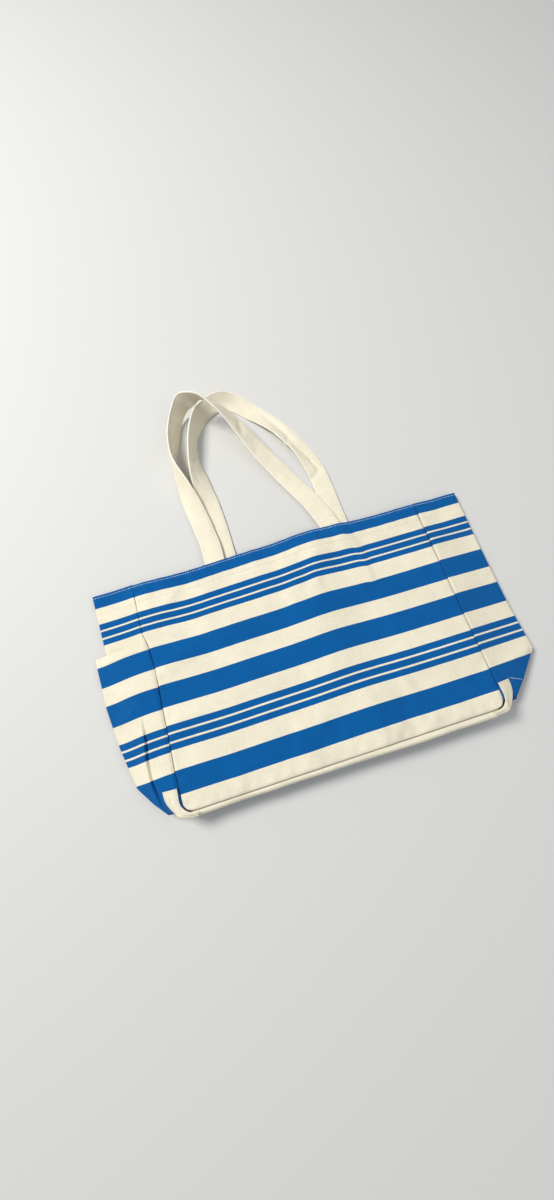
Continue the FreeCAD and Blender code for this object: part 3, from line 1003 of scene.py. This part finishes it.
# The middle of the tab's path: distance out, distance up the bag, half of its width.
tab_path = [(0.2412, -0.1320, 0.0095), (0.2414, -0.1400, 0.0094), (0.2410, -0.1480, 0.0086),
            (0.2382, -0.1560, 0.0072), (0.2325, -0.1630, 0.0058), (0.2240, -0.1682, 0.0044),
            (0.2110, -0.1698, 0.0030)]
natural_tab = one_colour_cloth("natural_tab", natural_cotton, 0.86, 1.06)
tab_rows = smooth_rows(tab_path, 6)
tab_frames = []
for i, (x, y, half) in enumerate(tab_rows):
    along = heading(tab_rows, i, 2)
    tab_frames.append((Vector((x, y)), Vector((-along.y, along.x)), half))


def lip_height(y):
    past = min(max((-0.1645 - y) / 0.0108, 0.0), 1.0)
    return front_height(y) - 0.0002 - 0.0075 * past ** 2.2


def tab_spot(index, w, shift_x=0.0):
    middle, across, half = tab_frames[index]
    spot = middle + across * (w * half)
    return spot.x + shift_x, spot.y


def front_tab_place(side):
    def lay(w, index):
        over = max(w - 1, 0)
        w = min(w, 1)
        x, y = tab_spot(index, w + 0.12 * math.sin(min(over, 1) * math.pi / 2))
        beside = x - seam_pull(y, side)
        z = min(side_surface(side, beside, max(y, -0.161)), lip_height(y) + (0.0014 if side < 0 else 0.0))
        crown = 0.0006 * (1 - w * w) - 0.0005 * abs(w) ** 6
        crown -= 0.0007 * hump(w - 0.2, 0.22) * ease((index - 7) / 4)
        pucker = 0.0004 * noise.noise(Vector((x * 160, y * 160, side)))
        z += tab_lift + tab_thickness + crown + pucker
        wrap = ease((index - 13) / 10)
        x -= seam_pull(y, side)
        return Vector((side * x, y, z - over * blend_value(0.0008, z - 0.0050, wrap)))
    return lay


def back_tab_place(side):
    def lay(w, index):
        x, y = tab_spot(index, back_tab_share * w, side * back_shift + seam_gap)
        return Vector((side * x, y, 0.0002 + 0.0002 * w * w))
    return lay


tab_across = steps(-1, 3, -0.85, 22, 0.85, 3, 1)
tab_index = list(range(len(tab_frames)))
back_tab_end = 16
back_tab_share = 0.75
tab_half = 0.0095
tab_step = 0.0013
for name, side in (("left", -1), ("right", 1)):
    for where, place in (("front", front_tab_place(side)), ("back", back_tab_place(side))):
        wide = tab_across + (steps(1, 8, 2)[1:] if where == "front" else [])
        long = tab_index if where == "front" else tab_index[:back_tab_end]
        piece = cloth_sheet("%s_%s_tab_cloth" % (where, name), wide, long, place, tab_thickness, natural_tab,
                            chart=lambda u, v: (u * tab_half, v * tab_step),
                            flip=(side < 0) != (where == "back"))
        follow_sides(piece, outer_lines[name] if where == "front" else side_lines[name]["lower"])
        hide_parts("%s_%s_corner_tab" % (where, name))


# The seam bindings.  Cotton tape 8 mm wide covers the raw edges inside the bag: down the side
# seams below the hem, and along the two lower seams.
binding_width = 0.008
binding_thickness = 0.0010
side_tape_v = (0.0305, 0.314)
base_tape_v = (0.318, 0.326)
base_tape_reach = 0.208
binding_tape = one_colour_cloth("binding_tape", (0.80, 0.75, 0.64), 0.88, 1.05, 1500.0, 0.00025)
seam_along = steps(side_tape_v[0], 60, side_tape_v[1])
for where, lay in (("front", front_place), ("back", back_place)):
    strips = {
        "left_seam": (steps(-facing_reach, 5, binding_width - facing_reach), seam_along),
        "right_seam": (steps(facing_reach - binding_width, 5, facing_reach), seam_along),
        "base": (steps(-base_tape_reach, 80, base_tape_reach), steps(base_tape_v[0], 5, base_tape_v[1])),
    }
    for strip, (across, along) in strips.items():
        piece = cloth_sheet("%s_%s_tape" % (where, strip), across, along,
                            lambda u, v: lay(u, v, canvas_thickness + layer_gap), binding_thickness,
                            binding_tape, flip=where == "back")
        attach(piece, where)
        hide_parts("%s_%s_binding" % (where, strip))


# The stitching.  Cotton thread in straight lock stitches: two rows round the hem, one along each
# edge of the straps on both faces, one across the pocket's hem, and short rows at the tabs.

def thread_material(name, colour):
    material = bpy.data.materials.new(name)
    material.use_nodes = True
    n = Nodes(material.node_tree)
    shader = material.node_tree.nodes["Principled BSDF"]
    n.set(shader, Roughness=0.62, Sheen_Weight=0.25)
    place = n.add("ShaderNodeTexCoord")
    grain = n.add("ShaderNodeTexNoise")
    n.set(grain, Vector=place.outputs["Object"], Scale=1900.0, Detail=2.0)
    level = n.math("MULTIPLY_ADD", grain.outputs[0], 0.24, 0.86)
    n.set(shader, Base_Color=n.scale(colour, level))
    return material


white_thread = thread_material("white_thread", (0.86, 0.87, 0.86))
natural_thread = thread_material("natural_thread", (0.80, 0.72, 0.56))


def stitch_tree():
    """Lay one small stitch at even steps along each line of a mesh."""
    tree = bpy.data.node_groups.new("stitch_row", "GeometryNodeTree")
    tree.interface.new_socket("Geometry", in_out="INPUT", socket_type="NodeSocketGeometry")
    for socket in ("Pitch", "Stitch length", "Thread width"):
        tree.interface.new_socket(socket, in_out="INPUT", socket_type="NodeSocketFloat")
    tree.interface.new_socket("Seed", in_out="INPUT", socket_type="NodeSocketInt")
    tree.interface.new_socket("Thread", in_out="INPUT", socket_type="NodeSocketMaterial")
    tree.interface.new_socket("Geometry", in_out="OUTPUT", socket_type="NodeSocketGeometry")
    n = Nodes(tree)
    start = n.add("NodeGroupInput")
    curve = n.add("GeometryNodeMeshToCurve")
    n.set(curve, Mesh=start.outputs["Geometry"])
    spaced = n.add("GeometryNodeResampleCurve", mode="LENGTH")
    n.set(spaced, Curve=curve.outputs[0], Length=start.outputs["Pitch"])
    bead = n.add("GeometryNodeMeshUVSphere")
    n.set(bead, Segments=6, Rings=4, Radius=0.5)
    size = n.add("ShaderNodeCombineXYZ")
    n.set(size, X=start.outputs["Thread width"], Y=start.outputs["Thread width"],
          Z=start.outputs["Stitch length"])
    shaped = n.add("GeometryNodeTransform")
    n.set(shaped, Geometry=bead.outputs["Mesh"], Scale=size.outputs[0])
    tangent = n.add("GeometryNodeInputTangent")
    facing = n.add("FunctionNodeAlignRotationToVector", axis="Z")
    n.set(facing, Vector=tangent.outputs[0])
    uneven = n.add("FunctionNodeRandomValue", data_type="FLOAT")
    uneven.inputs[2].default_value = 0.86
    uneven.inputs[3].default_value = 1.10
    tree.links.new(start.outputs["Seed"], uneven.inputs["Seed"])
    laid = n.add("GeometryNodeInstanceOnPoints")
    n.set(laid, Points=spaced.outputs[0], Instance=shaped.outputs[0], Rotation=facing.outputs[0])
    tree.links.new(uneven.outputs[1], laid.inputs["Scale"])
    real = n.add("GeometryNodeRealizeInstances")
    n.set(real, Geometry=laid.outputs[0])
    thread = n.add("GeometryNodeSetMaterial")
    n.set(thread, Geometry=real.outputs[0], Material=start.outputs["Thread"])
    end = n.add("NodeGroupOutput")
    tree.links.new(thread.outputs[0], end.inputs[0])
    return tree


stitch_row = stitch_tree()
stitch_sizes = {"Pitch": 0.0036, "Stitch length": 0.0026, "Thread width": 0.00075}


def stitches(name, lines, thread, seed, **sizes):
    """Stitches along each line of points, as one plain mesh."""
    points = []
    edges = []
    for line in lines:
        edges += [(len(points) + i, len(points) + i + 1) for i in range(len(line) - 1)]
        points += line
    mesh = bpy.data.meshes.new(name)
    mesh.from_pydata(points, edges, [])
    obj = link(name, mesh)
    row = obj.modifiers.new("stitch_row", "NODES")
    row.node_group = stitch_row
    values = dict(stitch_sizes)
    values.update({key.replace("_", " ").capitalize(): value for key, value in sizes.items()})
    values.update({"Seed": seed, "Thread": thread})
    for item in stitch_row.interface.items_tree:
        if item.in_out == "INPUT" and item.name in values:
            row[item.identifier] = values[item.name]
    plain_mesh(obj)
    obj.data.shade_smooth()
    return obj


thread_lift = 0.00012
thread_rise = Vector((0, 0, thread_lift))
edge_row_v = 0.0038
hem_row_v = hem_depth - 0.0008
front_line = steps(-half_width + 0.001, 230, half_width - 0.001)
for name, v, thread in (("edge", edge_row_v, white_thread), ("hem", hem_row_v, natural_thread)):
    line = [front_place(x, v) + thread_rise for x in front_line]
    piece = stitches("front_%s_stitches" % name, [line], thread, 3)
    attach(piece, "front")
    for side_name, cloth in side_clothes.items():
        lay = cloth.place("upper")
        line = [lay(0.02 + 0.9 * i / 60, v) + thread_rise for i in range(61)]
        piece = stitches("%s_side_%s_stitches" % (side_name, name), [line], thread, 5)
        follow_sides(piece, side_lines[side_name]["upper"])

pocket_lay = pocket.place("upper")
line = [pocket_lay(0.03 + 0.85 * i / 60, pocket_top_v + 0.008) + thread_rise for i in range(61)]
piece = stitches("pocket_hem_stitches", [line], natural_thread, 7)
follow_sides(piece, outer_lines["left"])

strap_stitch_w = 1 - 2 * stitch_inset / strap_width
loop = slice(2 * strap_steps, -2 * strap_steps)
for where, frames in strap_frame_sets.items():
    lines = []
    for w in (-strap_stitch_w, strap_stitch_w):
        for side in (1, -1):
            lines.append([strap_point(frame, w, side, strap_thickness * 0.44) for frame in frames[loop]])
    piece = stitches("%s_strap_stitches" % where, lines, natural_thread, 11, pitch=0.0034,
                     stitch_length=0.0026, thread_width=0.0007)
    follow_strap(piece, where)

for name, side in (("left", -1), ("right", 1)):
    lay = front_tab_place(side)
    lines = [[lay(w, i) + thread_rise for i in range(1, len(tab_frames) - 4)]
             for w in (-0.78, 0.78)]
    lines.append([lay(-0.78 + 1.56 * i / 12, 1) + thread_rise for i in range(13)])
    piece = stitches("%s_tab_stitches" % name, lines, natural_thread, 13, pitch=0.0030, stitch_length=0.0022,
                     thread_width=0.0006)
    follow_sides(piece, outer_lines[name])

side_tacks = {"right": (1, (0.256, -0.1320), (0.2725, -0.1390)),
              "left": (-1, (0.252, -0.1395), (0.266, -0.1330))}
for name, (side, first, last) in side_tacks.items():
    line = []
    for i in range(9):
        x = blend_value(first[0], last[0], i / 8)
        y = blend_value(first[1], last[1], i / 8)
        line.append(Vector((side * x, y, side_surface(side, x, y) + thread_lift)))
    piece = stitches("%s_side_tack" % name, [line], white_thread, 17, pitch=0.0030, stitch_length=0.0024,
                     thread_width=0.0008)
    follow_sides(piece, outer_lines[name])
